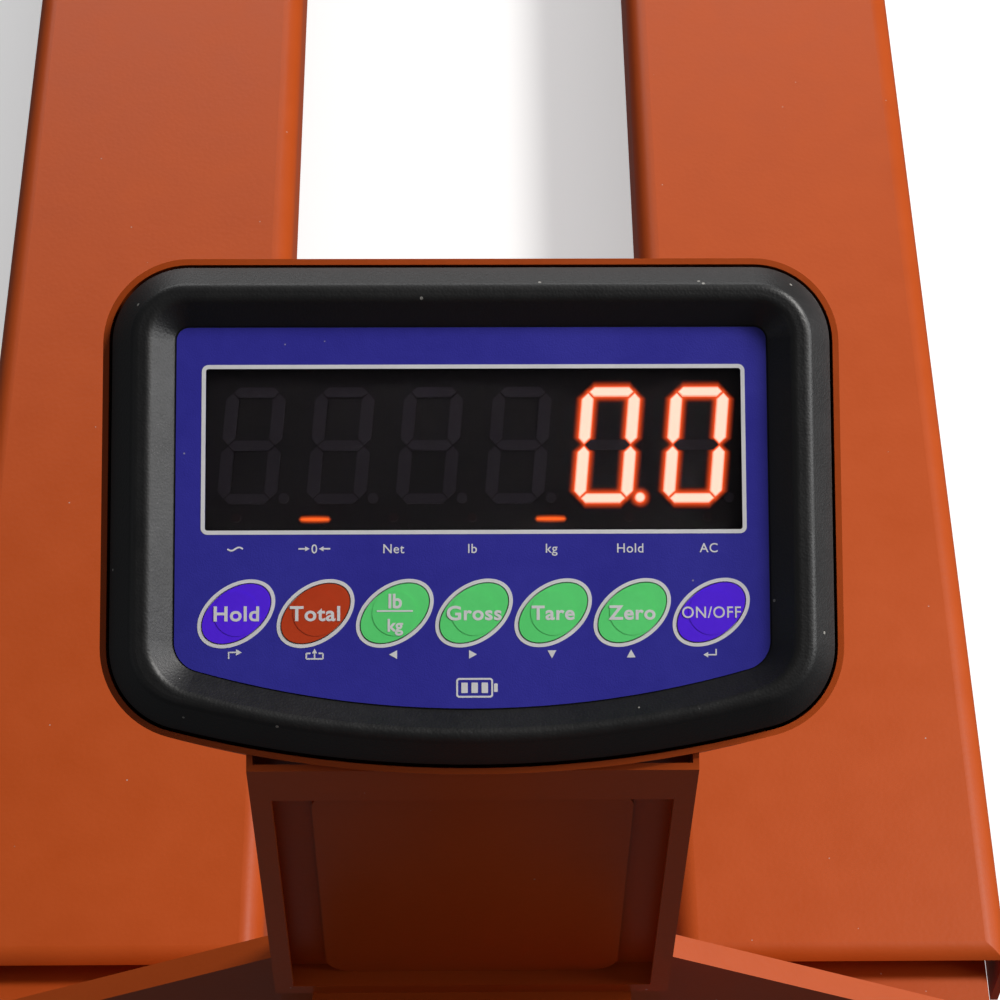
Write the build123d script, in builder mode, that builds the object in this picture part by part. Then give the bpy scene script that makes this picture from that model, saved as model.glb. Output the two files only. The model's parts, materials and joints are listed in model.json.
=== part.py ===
from build123d import *
from math import atan, cos, degrees, radians, sin, sqrt, tan
import os

# Hand pallet-truck scale: two weighing decks on fork channels, a hydraulic pump with steered
# wheels and a tiller at the operator's end, and a display head on a column.
# Millimetres, +Z up, forks along +Y, symmetric about X = 0.
# The origin is on the floor below the middle of the bounding box.

# ---- driving dimensions ----
STEER_Y = -446.8              # steering and ram axis
DECK_WIDTH = 170.0
DECK_GAP = 210.0
DECK_TOP_Z = 95.0             # lowered
DECK_SHELL = 4.0
DECK_DEPTH = 45.0
DECK_START = STEER_Y + 165.0
DECK_END = STEER_Y + 1315.0
FACE_ELEVATION = 61.6         # display face normal above the horizontal, towards the operator
FACE_Y = STEER_Y + 75.0       # centre of the display face
FACE_Z = 627.0
BEZEL_HALF_WIDTH = 118.7
BEZEL_TOP = 82.4
BEZEL_BOTTOM = 82.0
BEZEL_BOTTOM_RADIUS = 400.0
OVERLAY_HALF_WIDTH = 97.5
OVERLAY_TOP = 62.0
OVERLAY_BOTTOM = 64.2
OVERLAY_BOTTOM_RADIUS = 330.0
RIDGE_HEIGHT = 7.0            # bezel ridge above the overlay
DIGIT_PITCH = 29.33
DIGIT_HEIGHT = 38.7
DIGIT_WIDTH = 19.5
DIGIT_MID = 22.9
DIGIT_SLANT = 5.0
KEY_PITCH = 25.84
KEY_V = -32.8
COLUMN_WIDTH = 148.0
COLUMN_BACK = STEER_Y + 4.0   # operator's side
COLUMN_FRONT = STEER_Y + 94.0
COLUMN_FOOT_Z = 412.0
SHEET = 2.0

DECK_X = (DECK_GAP + DECK_WIDTH) / 2

os.makedirs("parts", exist_ok=True)


# ---- display head ----
def face_plane(height=0.0):
    """Plane of the display face: local X to the right, local Y up the face, Z out of it."""
    tilt = radians(FACE_ELEVATION)
    plane = Plane(origin=(0, FACE_Y, FACE_Z), x_dir=(1, 0, 0), z_dir=(0, -cos(tilt), sin(tilt)))
    return plane.offset(height)


def head_outline(half_width, top, bottom, bottom_radius, top_corner, bottom_corner):
    """Face outline: straight top and sides, a shallow arc along the bottom, four round corners."""
    side_end = bottom_radius - sqrt(bottom_radius**2 - half_width**2) - bottom
    with BuildSketch() as outline:
        with BuildLine():
            Polyline((half_width, side_end), (half_width, top), (-half_width, top), (-half_width, side_end))
            ThreePointArc((-half_width, side_end), (0, -bottom), (half_width, side_end))
        make_face()
        fillet(outline.vertices().group_by(Axis.Y)[-1], top_corner)
        fillet(outline.vertices().group_by(Axis.Y)[0], bottom_corner)
    return outline.sketch


def bezel_outline(grow=0.0):
    return head_outline(
        BEZEL_HALF_WIDTH + grow,
        BEZEL_TOP + grow,
        BEZEL_BOTTOM + grow,
        BEZEL_BOTTOM_RADIUS,
        25 + grow,
        27 + grow,
    )


def overlay_outline(grow=0.0):
    return head_outline(
        OVERLAY_HALF_WIDTH + grow,
        OVERLAY_TOP + grow,
        OVERLAY_BOTTOM + grow,
        OVERLAY_BOTTOM_RADIUS,
        4.5 + grow,
        10 + grow,
    )


def at_ridge(face):
    return abs(face_plane().to_local_coords(face.center()).Z - RIDGE_HEIGHT) < 0.05


def save(piece, label):
    piece.label = label
    export_step(piece, f"parts/{label}.step")


OVERLAY_THICKNESS = 0.5
CASE_JOIN = -13.0             # where bezel and rear case meet
CASE_BACK = -44.0
CASE_WALL = 2.5
RING_SLOPE = 8.0              # width of each slope of the ridge
OUTER_EDGE = -3.0
CREST_RADIUS = 3.5
WINDOW_CENTRE = (0.6, 21.2)
WINDOW_SIZE = (176.2, 53.5)
PANE_SIZE = (184.0, 60.0)
SCREW_PLACES = [(-104, 60), (104, 60), (-104, -38), (104, -38), (0, 70), (0, -71)]
KEY_PLACES = [((i - 3) * KEY_PITCH + 0.5, KEY_V) for i in range(7)]
KEY_NAMES = ["hold", "total", "unit", "gross", "tare", "zero", "power"]
DOME_RADII = (12.5, 7.9)      # key pad half axes, turned by KEY_TURN
KEY_TURN = 36.0
DOME_SHEET_SIZE = (190.0, 30.0)

with BuildPart() as front_bezel:
    with BuildSketch(face_plane(CASE_JOIN)):
        add(bezel_outline())
    extrude(amount=OUTER_EDGE - CASE_JOIN)
    with BuildSketch(face_plane(OUTER_EDGE)):
        add(bezel_outline())
    extrude(
        amount=RIDGE_HEIGHT - OUTER_EDGE,
        taper=degrees(atan(RING_SLOPE / (RIDGE_HEIGHT - OUTER_EDGE))),
    )
    with BuildSketch(face_plane(RIDGE_HEIGHT)):
        add(overlay_outline(RING_SLOPE))
    extrude(
        amount=-(RIDGE_HEIGHT + OVERLAY_THICKNESS),
        taper=degrees(atan(RING_SLOPE / (RIDGE_HEIGHT + OVERLAY_THICKNESS))),
        mode=Mode.SUBTRACT,
    )
    # hollow behind the face
    with BuildSketch(face_plane(CASE_JOIN)):
        add(bezel_outline(-CASE_WALL))
    extrude(amount=-CASE_JOIN + OUTER_EDGE - 0.5, mode=Mode.SUBTRACT)
    with BuildSketch(face_plane(-OVERLAY_THICKNESS)):
        with Locations(WINDOW_CENTRE):
            Rectangle(*PANE_SIZE)
    extrude(amount=-6, mode=Mode.SUBTRACT)
    with BuildSketch(face_plane(-OVERLAY_THICKNESS)):
        with Locations((0.5, KEY_V)):
            Rectangle(DOME_SHEET_SIZE[0] + 0.6, DOME_SHEET_SIZE[1] + 0.6)
    extrude(amount=-1.6, mode=Mode.SUBTRACT)
    crest = front_bezel.faces().filter_by(at_ridge)[0]
    fillet(crest.outer_wire().edges(), CREST_RADIUS)
    crest = front_bezel.faces().filter_by(at_ridge)[0]
    fillet(crest.inner_wires()[0].edges(), CREST_RADIUS)
save(front_bezel.part, "front_bezel")

with BuildPart() as keypad_overlay:
    with BuildSketch(face_plane()):
        add(overlay_outline(-0.3))
        with Locations(WINDOW_CENTRE):
            Rectangle(*WINDOW_SIZE, mode=Mode.SUBTRACT)
        with Locations(*KEY_PLACES):
            Ellipse(DOME_RADII[0] + 0.35, DOME_RADII[1] + 0.35, rotation=KEY_TURN, mode=Mode.SUBTRACT)
    extrude(amount=-OVERLAY_THICKNESS)
save(keypad_overlay.part, "keypad_overlay")

# each membrane key is a raised elliptical pad with a round dome in it
for key_name, place in zip(KEY_NAMES, KEY_PLACES):
    with BuildPart() as key:
        with BuildSketch(face_plane(-0.6)):
            with Locations(place):
                Ellipse(*DOME_RADII, rotation=KEY_TURN)
        extrude(amount=0.9)
        with BuildSketch(face_plane(0.3)):
            with Locations(place):
                Circle(7.4)
        extrude(amount=0.12)
    save(key.part, f"key_{key_name}")

with BuildPart() as dome_sheet:
    with BuildSketch(face_plane(-1.1)):
        with Locations((0.5, KEY_V)):
            Rectangle(*DOME_SHEET_SIZE)
    extrude(amount=-1.0)
save(dome_sheet.part, "dome_sheet")

with BuildPart() as display_window:
    with BuildSketch(face_plane(-OVERLAY_THICKNESS)):
        with Locations(WINDOW_CENTRE):
            Rectangle(PANE_SIZE[0] - 0.4, PANE_SIZE[1] - 0.4)
    extrude(amount=-2.0)
save(display_window.part, "display_window")

# ---- LED digits ----
SEGMENT_FACE = -3.3
DIGIT_XS = [(i - 2.5) * DIGIT_PITCH + 0.7 for i in range(6)]
LIT_DIGITS = [4, 5]
STROKE_V = 4.1
STROKE_H = 3.3


def slant_shift(height):
    return height * tan(radians(DIGIT_SLANT))


def bar(centre_x, x0, y0, x1, y1, width):
    """One segment with pointed ends, from (x0, y0) to (x1, y1), leaning with the digit."""
    half = width / 2
    if x0 == x1:
        points = [(x0, y0), (x0 - half, y0 + half), (x0 - half, y1 - half)]
        points += [(x0, y1), (x0 + half, y1 - half), (x0 + half, y0 + half)]
    else:
        points = [(x0, y0), (x0 + half, y0 + half), (x1 - half, y0 + half)]
        points += [(x1, y0), (x1 - half, y0 - half), (x0 + half, y0 - half)]
    leaning = [(centre_x + x + slant_shift(y), DIGIT_MID + y) for x, y in points]
    with BuildSketch() as segment:
        with BuildLine():
            Polyline(*leaning, close=True)
        make_face()
    return segment.sketch


def digit_bars(centre_x):
    """Seven segments in the order a, b, c, d, e, f, g (g is the middle one)."""
    side = (DIGIT_WIDTH - STROKE_V) / 2
    top = (DIGIT_HEIGHT - STROKE_H) / 2
    gap = 0.35
    return [
        bar(centre_x, -side + gap, top, side - gap, top, STROKE_H),
        bar(centre_x, side, gap, side, top - gap, STROKE_V),
        bar(centre_x, side, -top + gap, side, -gap, STROKE_V),
        bar(centre_x, -side + gap, -top, side - gap, -top, STROKE_H),
        bar(centre_x, -side, -top + gap, -side, -gap, STROKE_V),
        bar(centre_x, -side, gap, -side, top - gap, STROKE_V),
        bar(centre_x, -side + gap, 0, side - gap, 0, STROKE_H),
    ]


def dot_place(index):
    return (DIGIT_XS[index] + DIGIT_WIDTH / 2 + 0.9, DIGIT_MID - DIGIT_HEIGHT / 2 + 1.9)


with BuildPart() as lit_segments:
    with BuildSketch(face_plane(SEGMENT_FACE)):
        for digit in LIT_DIGITS:
            for piece in digit_bars(DIGIT_XS[digit])[:6]:
                add(piece)
        with Locations(dot_place(4)):
            Circle(1.7)
    extrude(amount=-0.6)
save(lit_segments.part, "lit_segments")

with BuildPart() as dark_segments:
    with BuildSketch(face_plane(SEGMENT_FACE)):
        for digit in range(6):
            bars = digit_bars(DIGIT_XS[digit])
            for piece in bars[6:] if digit in LIT_DIGITS else bars:
                add(piece)
        with Locations(*[dot_place(i) for i in (0, 1, 2, 3, 5)]):
            Circle(1.7)
    extrude(amount=-0.6)
save(dark_segments.part, "dark_segments")

with BuildPart() as digit_module:
    with BuildSketch(face_plane(SEGMENT_FACE - 0.6)):
        with Locations(WINDOW_CENTRE):
            Rectangle(180, 56)
    extrude(amount=-9.0)
save(digit_module.part, "digit_module")

LAMP_V = -1.0
with BuildPart() as status_lamps:
    with BuildSketch(face_plane(SEGMENT_FACE)):
        with Locations(*[((i - 3) * KEY_PITCH, LAMP_V) for i in range(7)]):
            Circle(1.5)
    extrude(amount=-0.6)
save(status_lamps.part, "status_lamps")

BOARD_TOP = SEGMENT_FACE - 0.6 - 9.0
with BuildPart() as main_board:
    with BuildSketch(face_plane(BOARD_TOP)):
        with Locations((0, 0)):
            Rectangle(196, 112)
    extrude(amount=-1.6)
save(main_board.part, "main_board")

with BuildPart() as board_parts:
    with BuildSketch(face_plane(BOARD_TOP - 1.6)):
        with Locations((-60, 10), (-20, 30)):
            Rectangle(14, 14)
        with Locations((40, 35), (70, 35)):
            Circle(5)
        with Locations((0, -44)):
            Rectangle(60, 8)
    extrude(amount=-6)
save(board_parts.part, "board_parts")

with BuildPart() as battery:
    with BuildSketch(face_plane(BOARD_TOP - 10)):
        with Locations((0, -8)):
            RectangleRounded(110, 52, 4)
    extrude(amount=-17)
save(battery.part, "battery")

BATTERY_BACK = BOARD_TOP - 27
with BuildPart() as battery_bracket:
    with BuildSketch(face_plane(BATTERY_BACK)):
        with Locations((0, -8)):
            Rectangle(20, 70)
    extrude(amount=-1.2)
save(battery_bracket.part, "battery_bracket")

with BuildPart() as rear_case:
    with BuildSketch(face_plane(CASE_JOIN - 1)):
        add(bezel_outline(-0.4))
    extrude(amount=CASE_BACK - CASE_JOIN + 1, taper=2)
    with BuildSketch(face_plane(CASE_JOIN - 1)):
        add(bezel_outline(-0.4 - CASE_WALL))
    extrude(amount=CASE_BACK - CASE_JOIN + 1 + CASE_WALL, taper=2, mode=Mode.SUBTRACT)
    with BuildSketch(face_plane(CASE_JOIN - 1)):
        with Locations(*SCREW_PLACES):
            Circle(4.0)
    extrude(amount=CASE_BACK - CASE_JOIN + 2)
    with BuildSketch(face_plane(CASE_JOIN - 1)):
        with Locations(*SCREW_PLACES):
            Circle(1.6)
    extrude(amount=-60, mode=Mode.SUBTRACT)
    with BuildSketch(face_plane(CASE_BACK)):
        with Locations((0, -60)):
            Circle(6.05)
    extrude(amount=5, mode=Mode.SUBTRACT)
save(rear_case.part, "rear_case")

with BuildPart() as case_gasket:
    with BuildSketch(face_plane(CASE_JOIN)):
        add(bezel_outline(-0.2))
        add(bezel_outline(-CASE_WALL), mode=Mode.SUBTRACT)
    extrude(amount=-1)
save(case_gasket.part, "case_gasket")

with BuildPart() as case_screws:
    with BuildSketch(face_plane(CASE_BACK)):
        with Locations(*SCREW_PLACES):
            Circle(3.2)
    extrude(amount=-2.2)
    with BuildSketch(face_plane(CASE_BACK)):
        with Locations(*SCREW_PLACES):
            Circle(1.6)
    extrude(amount=24)
save(case_screws.part, "case_screws")


# ---- shroud and column ----
SHROUD_GAP = 1.2
SHROUD_RIM = -4.0
SHROUD_BACK = -50.0


def shroud_body():
    """Outer envelope of the shroud."""
    with BuildPart() as body:
        with BuildSketch(face_plane(SHROUD_RIM)):
            add(bezel_outline(SHROUD_GAP + SHEET))
        extrude(amount=SHROUD_BACK - SHROUD_RIM)
    return body.part


with BuildPart() as indicator_shroud:
    add(shroud_body())
    with BuildSketch(face_plane(SHROUD_RIM)):
        add(bezel_outline(SHROUD_GAP))
    extrude(amount=SHROUD_BACK - SHROUD_RIM + SHEET, mode=Mode.SUBTRACT)
    # cable hole down into the column
    with BuildSketch(face_plane(SHROUD_BACK)):
        with Locations((0, -60)):
            Circle(9)
    extrude(amount=SHEET, mode=Mode.SUBTRACT)
save(indicator_shroud.part, "indicator_shroud")

with BuildPart() as cable_gland:
    with BuildSketch(face_plane(CASE_BACK + CASE_WALL)):
        with Locations((0, -60)):
            Circle(6.0)
            Circle(2.6, mode=Mode.SUBTRACT)
    extrude(amount=-CASE_WALL)
    with BuildSketch(face_plane(CASE_BACK)):
        with Locations((0, -60)):
            RegularPolygon(8.5, 6)
            Circle(2.6, mode=Mode.SUBTRACT)
    extrude(amount=-3.5)
    with BuildSketch(face_plane(CASE_BACK - 3.5)):
        with Locations((0, -60)):
            Circle(6.5)
            Circle(2.6, mode=Mode.SUBTRACT)
    extrude(amount=-5)
save(cable_gland.part, "cable_gland")

COLUMN_TOP_Z = 700.0          # above the shroud, cut back to it
COLUMN_LIP = 7.0
HEADER_BOTTOM_Z = 562.0
PANEL_WIDTH = 109.0
PANEL_RECESS = 9.0
COLUMN_DEPTH = COLUMN_FRONT - COLUMN_BACK
COLUMN_MID_Y = (COLUMN_FRONT + COLUMN_BACK) / 2
FOOT_PLATE = 6.0
FOOT_BOLTS = (90.0, 50.0)

with BuildPart() as column_frame:
    with BuildSketch(Plane.XY.offset(COLUMN_FOOT_Z + FOOT_PLATE)):
        with Locations((0, COLUMN_MID_Y)):
            Rectangle(COLUMN_WIDTH, COLUMN_DEPTH)
        with Locations((0, COLUMN_MID_Y - SHEET)):
            Rectangle(COLUMN_WIDTH - 2 * SHEET, COLUMN_DEPTH, mode=Mode.SUBTRACT)
        for side in (-1, 1):
            with Locations((side * (COLUMN_WIDTH - COLUMN_LIP) / 2, COLUMN_BACK + SHEET / 2)):
                Rectangle(COLUMN_LIP, SHEET)
    extrude(amount=COLUMN_TOP_Z - COLUMN_FOOT_Z)
    # header plate between the sides, under the shroud
    with BuildSketch(Plane(origin=(0, COLUMN_BACK, 0), x_dir=(1, 0, 0), z_dir=(0, -1, 0))):
        with Locations((0, HEADER_BOTTOM_Z + 20)):
            Rectangle(COLUMN_WIDTH, 40)
    extrude(amount=-SHEET)
    add(shroud_body(), mode=Mode.SUBTRACT)
    split(bisect_by=face_plane(SHROUD_RIM - 2), keep=Keep.BOTTOM)
    with BuildSketch(Plane.XY.offset(COLUMN_FOOT_Z)):
        with Locations((0, COLUMN_MID_Y)):
            Rectangle(COLUMN_WIDTH, COLUMN_DEPTH)
            with GridLocations(*FOOT_BOLTS, 2, 2):
                Circle(4.5, mode=Mode.SUBTRACT)
    extrude(amount=FOOT_PLATE)
save(column_frame.part, "column_frame")

PANEL_Y = COLUMN_BACK + PANEL_RECESS
with BuildPart() as column_panel:
    with BuildSketch(Plane(origin=(0, PANEL_Y, 0), x_dir=(1, 0, 0), z_dir=(0, -1, 0))):
        with Locations((0, (COLUMN_FOOT_Z + FOOT_PLATE + 600) / 2)):
            Rectangle(COLUMN_WIDTH - 2 * SHEET, 600 - COLUMN_FOOT_Z - FOOT_PLATE)
    extrude(amount=-1.5)
    with BuildSketch(Plane(origin=(0, PANEL_Y, 0), x_dir=(1, 0, 0), z_dir=(0, -1, 0))):
        with Locations((0, (COLUMN_FOOT_Z + FOOT_PLATE + 556) / 2)):
            RectangleRounded(PANEL_WIDTH, 556 - COLUMN_FOOT_Z - FOOT_PLATE, 10)
    extrude(amount=3.0)
    add(shroud_body(), mode=Mode.SUBTRACT)
    split(bisect_by=face_plane(SHROUD_RIM - 2), keep=Keep.BOTTOM)
save(column_panel.part, "column_panel")

with BuildPart() as column_bolts:
    with BuildSketch(Plane.XY.offset(COLUMN_FOOT_Z + FOOT_PLATE)):
        with Locations((0, COLUMN_MID_Y)):
            with GridLocations(*FOOT_BOLTS, 2, 2):
                RegularPolygon(7.5, 6)
    extrude(amount=5.3)
    with BuildSketch(Plane.XY.offset(COLUMN_FOOT_Z + FOOT_PLATE)):
        with Locations((0, COLUMN_MID_Y)):
            with GridLocations(*FOOT_BOLTS, 2, 2):
                Circle(4.0)
    extrude(amount=-FOOT_PLATE - 8.5)
save(column_bolts.part, "column_bolts")


# ---- weighing decks, fork channels and load cells ----
CHANNEL_WIDTH = 150.0
CHANNEL_TOP_Z = 78.0
CHANNEL_BOTTOM_Z = 30.0
CHANNEL_SHEET = 6.0
CHANNEL_START = STEER_Y + 150.0
CHANNEL_END = STEER_Y + 1235.0
TIP_TAPER = (45.0, 70.0)      # corner cut at the tip, across and along
CELL_SIZE = (130.0, 32.0, 10.0)
CELL_YS = (DECK_START + 190.0, DECK_END - 260.0)
FOOT_RADIUS = 10.0
ROLLER_Y = STEER_Y + 1150.0
ROLLER_RADIUS = 35.0
ROLLER_WIDTH = 70.0
ARM_LENGTH = 160.0
ARM_PIVOT_Z = 50.0
ARM_PIVOT_Y = ROLLER_Y - sqrt(ARM_LENGTH**2 - (ARM_PIVOT_Z - ROLLER_RADIUS) ** 2)
PIN_RADIUS = 8.0
AXLE_RADIUS = 7.5
SIDES = {"left": -1, "right": 1}


def deck_outline(side, shrink=0.0):
    half = DECK_WIDTH / 2 - shrink
    tip = DECK_END - shrink
    centre = side * DECK_X
    with BuildSketch() as outline:
        with BuildLine():
            Polyline(
                (centre - half, DECK_START),
                (centre + half, DECK_START),
                (centre + half, tip - TIP_TAPER[1]),
                (centre + half - TIP_TAPER[0], tip),
                (centre - half + TIP_TAPER[0], tip),
                (centre - half, tip - TIP_TAPER[1]),
                close=True,
            )
        make_face()
        fillet(outline.vertices().group_by(Axis.Y)[-1], 25 - shrink)
        fillet(outline.vertices().group_by(Axis.Y)[1], 60)
    return outline.sketch


def side_plane(x):
    """Plane square to X: local X along +Y, local Y along +Z."""
    return Plane(origin=(x, 0, 0), x_dir=(0, 1, 0), z_dir=(1, 0, 0))


for side_name, side in SIDES.items():
    centre = side * DECK_X

    with BuildPart() as deck:
        with BuildSketch(Plane.XY.offset(DECK_TOP_Z)):
            add(deck_outline(side))
        extrude(amount=-DECK_DEPTH)
        fillet(deck.faces().sort_by(Axis.Z)[-1].edges(), 12)
        with BuildSketch(Plane.XY.offset(DECK_TOP_Z - DECK_SHELL)):
            add(deck_outline(side, DECK_SHELL))
        extrude(amount=-DECK_DEPTH, mode=Mode.SUBTRACT)
    save(deck.part, f"weigh_deck_{side_name}")

    with BuildPart() as channel:
        with BuildSketch(Plane.XZ.offset(-CHANNEL_START)):
            with Locations((centre, (CHANNEL_TOP_Z + CHANNEL_BOTTOM_Z) / 2)):
                Rectangle(CHANNEL_WIDTH, CHANNEL_TOP_Z - CHANNEL_BOTTOM_Z)
            with Locations((centre, (CHANNEL_TOP_Z + CHANNEL_BOTTOM_Z) / 2 - CHANNEL_SHEET)):
                Rectangle(
                    CHANNEL_WIDTH - 2 * CHANNEL_SHEET,
                    CHANNEL_TOP_Z - CHANNEL_BOTTOM_Z,
                    mode=Mode.SUBTRACT,
                )
        extrude(amount=-(CHANNEL_END - CHANNEL_START))
        with BuildSketch(side_plane(centre)):
            with Locations((ARM_PIVOT_Y, ARM_PIVOT_Z)):
                Circle(PIN_RADIUS)
        extrude(amount=CHANNEL_WIDTH, both=True, mode=Mode.SUBTRACT)
    save(channel.part, f"fork_channel_{side_name}")

    with BuildPart() as load_arm:
        for cheek in (-1, 1):
            with BuildSketch(side_plane(centre + cheek * (ROLLER_WIDTH / 2 + 7))):
                SlotCenterPoint(
                    ((ARM_PIVOT_Y + ROLLER_Y) / 2, (ARM_PIVOT_Z + ROLLER_RADIUS) / 2),
                    (ROLLER_Y, ROLLER_RADIUS),
                    34,
                )
                with Locations((ARM_PIVOT_Y, ARM_PIVOT_Z)):
                    Circle(PIN_RADIUS + 0.05, mode=Mode.SUBTRACT)
                with Locations((ROLLER_Y, ROLLER_RADIUS)):
                    Circle(AXLE_RADIUS, mode=Mode.SUBTRACT)
            extrude(amount=4, both=True)
        # web that joins the two cheeks, clear of the roller and the pin
        with BuildSketch(side_plane(centre)):
            with Locations((ARM_PIVOT_Y + 50, ARM_PIVOT_Z - 5)):
                Rectangle(40, 10)
        extrude(amount=ROLLER_WIDTH / 2 + 4, both=True)
    save(load_arm.part, f"load_arm_{side_name}")

    with BuildPart() as arm_pin:
        with BuildSketch(side_plane(centre)):
            with Locations((ARM_PIVOT_Y, ARM_PIVOT_Z)):
                Circle(PIN_RADIUS)
        extrude(amount=CHANNEL_WIDTH / 2 - 0.5, both=True)
    save(arm_pin.part, f"arm_pin_{side_name}")

    with BuildPart() as roller_axle:
        with BuildSketch(side_plane(centre)):
            with Locations((ROLLER_Y, ROLLER_RADIUS)):
                Circle(AXLE_RADIUS)
        extrude(amount=ROLLER_WIDTH / 2 + 11, both=True)
    save(roller_axle.part, f"roller_axle_{side_name}")

    with BuildPart() as load_roller:
        with BuildSketch(side_plane(centre)):
            with Locations((ROLLER_Y, ROLLER_RADIUS)):
                Circle(ROLLER_RADIUS)
                Circle(AXLE_RADIUS + 0.05, mode=Mode.SUBTRACT)
        extrude(amount=ROLLER_WIDTH / 2, both=True)
        chamfer(load_roller.edges().filter_by(GeomType.CIRCLE).filter_by(lambda e: e.radius > 20), 3)
    save(load_roller.part, f"load_roller_{side_name}")

CELL_PLACES = [(side * DECK_X, y) for side in SIDES.values() for y in CELL_YS]
with BuildPart() as load_cells:
    with BuildSketch(Plane.XY.offset(CHANNEL_TOP_Z)):
        with Locations(*CELL_PLACES):
            Rectangle(CELL_SIZE[1], CELL_SIZE[0])
    extrude(amount=CELL_SIZE[2])
save(load_cells.part, "load_cells")

with BuildPart() as cell_feet:
    with BuildSketch(Plane.XY.offset(CHANNEL_TOP_Z + CELL_SIZE[2])):
        with Locations(*[(x, y + CELL_SIZE[0] / 2 - 15) for x, y in CELL_PLACES]):
            Circle(FOOT_RADIUS)
    extrude(amount=DECK_TOP_Z - DECK_SHELL - CHANNEL_TOP_Z - CELL_SIZE[2])
save(cell_feet.part, "cell_feet")

# ---- frame ----
TOWER_WIDTH = 160.0
TOWER_BACK = STEER_Y + 55.0
TOWER_FRONT = STEER_Y + 140.0
TOWER_BOTTOM_Z = 190.0
HEAD_BACK = STEER_Y - 45.0
HEAD_WIDTH = 120.0
HEAD_UNDER_Z = 372.0
CROSS_BACK = STEER_Y + 128.0
RAM_RADIUS = 19.0
SPIGOT_RADIUS = 15.0
RUNNING_GAP = 0.05

with BuildPart() as frame_tower:
    with BuildSketch(Plane.XY.offset(TOWER_BOTTOM_Z)):
        with Locations((0, (TOWER_BACK + TOWER_FRONT) / 2)):
            Rectangle(TOWER_WIDTH, TOWER_FRONT - TOWER_BACK)
            Rectangle(TOWER_WIDTH - 12, TOWER_FRONT - TOWER_BACK - 12, mode=Mode.SUBTRACT)
    extrude(amount=COLUMN_FOOT_Z - TOWER_BOTTOM_Z)
    with BuildSketch(Plane.XY.offset(HEAD_UNDER_Z)):
        with Locations((0, (HEAD_BACK + TOWER_FRONT) / 2)):
            Rectangle(HEAD_WIDTH, TOWER_FRONT - HEAD_BACK)
    extrude(amount=COLUMN_FOOT_Z - HEAD_UNDER_Z)
    fillet(frame_tower.edges().filter_by(Axis.Z).sort_by(Axis.Y)[:2], 20)
    with BuildSketch(Plane.XY.offset(HEAD_UNDER_Z)):
        with Locations((0, STEER_Y)):
            Circle(SPIGOT_RADIUS + RUNNING_GAP)
    extrude(amount=20, mode=Mode.SUBTRACT)
    with BuildSketch(Plane.XY.offset(COLUMN_FOOT_Z)):
        with Locations((0, COLUMN_MID_Y)):
            with GridLocations(*FOOT_BOLTS, 2, 2):
                Circle(4.0)
    extrude(amount=-10, mode=Mode.SUBTRACT)
save(frame_tower.part, "frame_tower")

with BuildPart() as cross_member:
    with BuildSketch(Plane.XZ.offset(-CROSS_BACK)):
        with BuildLine():
            Polyline(
                (-DECK_X - CHANNEL_WIDTH / 2, CHANNEL_BOTTOM_Z),
                (DECK_X + CHANNEL_WIDTH / 2, CHANNEL_BOTTOM_Z),
                (DECK_X + CHANNEL_WIDTH / 2, CHANNEL_TOP_Z + 12),
                (TOWER_WIDTH / 2, TOWER_BOTTOM_Z),
                (-TOWER_WIDTH / 2, TOWER_BOTTOM_Z),
                (-DECK_X - CHANNEL_WIDTH / 2, CHANNEL_TOP_Z + 12),
                close=True,
            )
        make_face()
    extrude(amount=-(TOWER_FRONT - CROSS_BACK))
    with BuildSketch(Plane.XY.offset(CHANNEL_BOTTOM_Z)):
        with Locations(*[(s * DECK_X, (TOWER_FRONT + CHANNEL_START) / 2) for s in SIDES.values()]):
            Rectangle(CHANNEL_WIDTH, CHANNEL_START - TOWER_FRONT)
    extrude(amount=CHANNEL_TOP_Z - CHANNEL_BOTTOM_Z)
save(cross_member.part, "cross_member")

# ---- pump, ram and steer wheels ----
with BuildPart() as lift_ram:
    with BuildSketch(Plane.XY.offset(200)):
        with Locations((0, STEER_Y)):
            Circle(RAM_RADIUS)
    extrude(amount=HEAD_UNDER_Z - 4 - 200)
    with BuildSketch(Plane.XY.offset(HEAD_UNDER_Z - 4)):
        with Locations((0, STEER_Y)):
            Circle(SPIGOT_RADIUS)
    extrude(amount=22)
save(lift_ram.part, "lift_ram")

with BuildPart() as thrust_bearing:
    with BuildSketch(Plane.XY.offset(HEAD_UNDER_Z - 4)):
        with Locations((0, STEER_Y)):
            Circle(30)
            Circle(SPIGOT_RADIUS, mode=Mode.SUBTRACT)
    extrude(amount=3.95)
save(thrust_bearing.part, "thrust_bearing")

HOUSING_RADIUS = 48.0
HOUSING_BOTTOM_Z = 185.0
HOUSING_TOP_Z = 345.0
NECK = (64.0, 80.0)
AXLE_Z = 90.0
STEER_WHEEL_RADIUS = 90.0
STEER_WHEEL_WIDTH = 50.0
STEER_WHEEL_X = 60.0
STEER_AXLE_RADIUS = 10.0
PLUNGER_Y = STEER_Y - 74.0
PLUNGER_RADIUS = 9.0
TILLER_PIVOT = (STEER_Y - 70.0, 265.0)
EAR_X = 29.0

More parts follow.
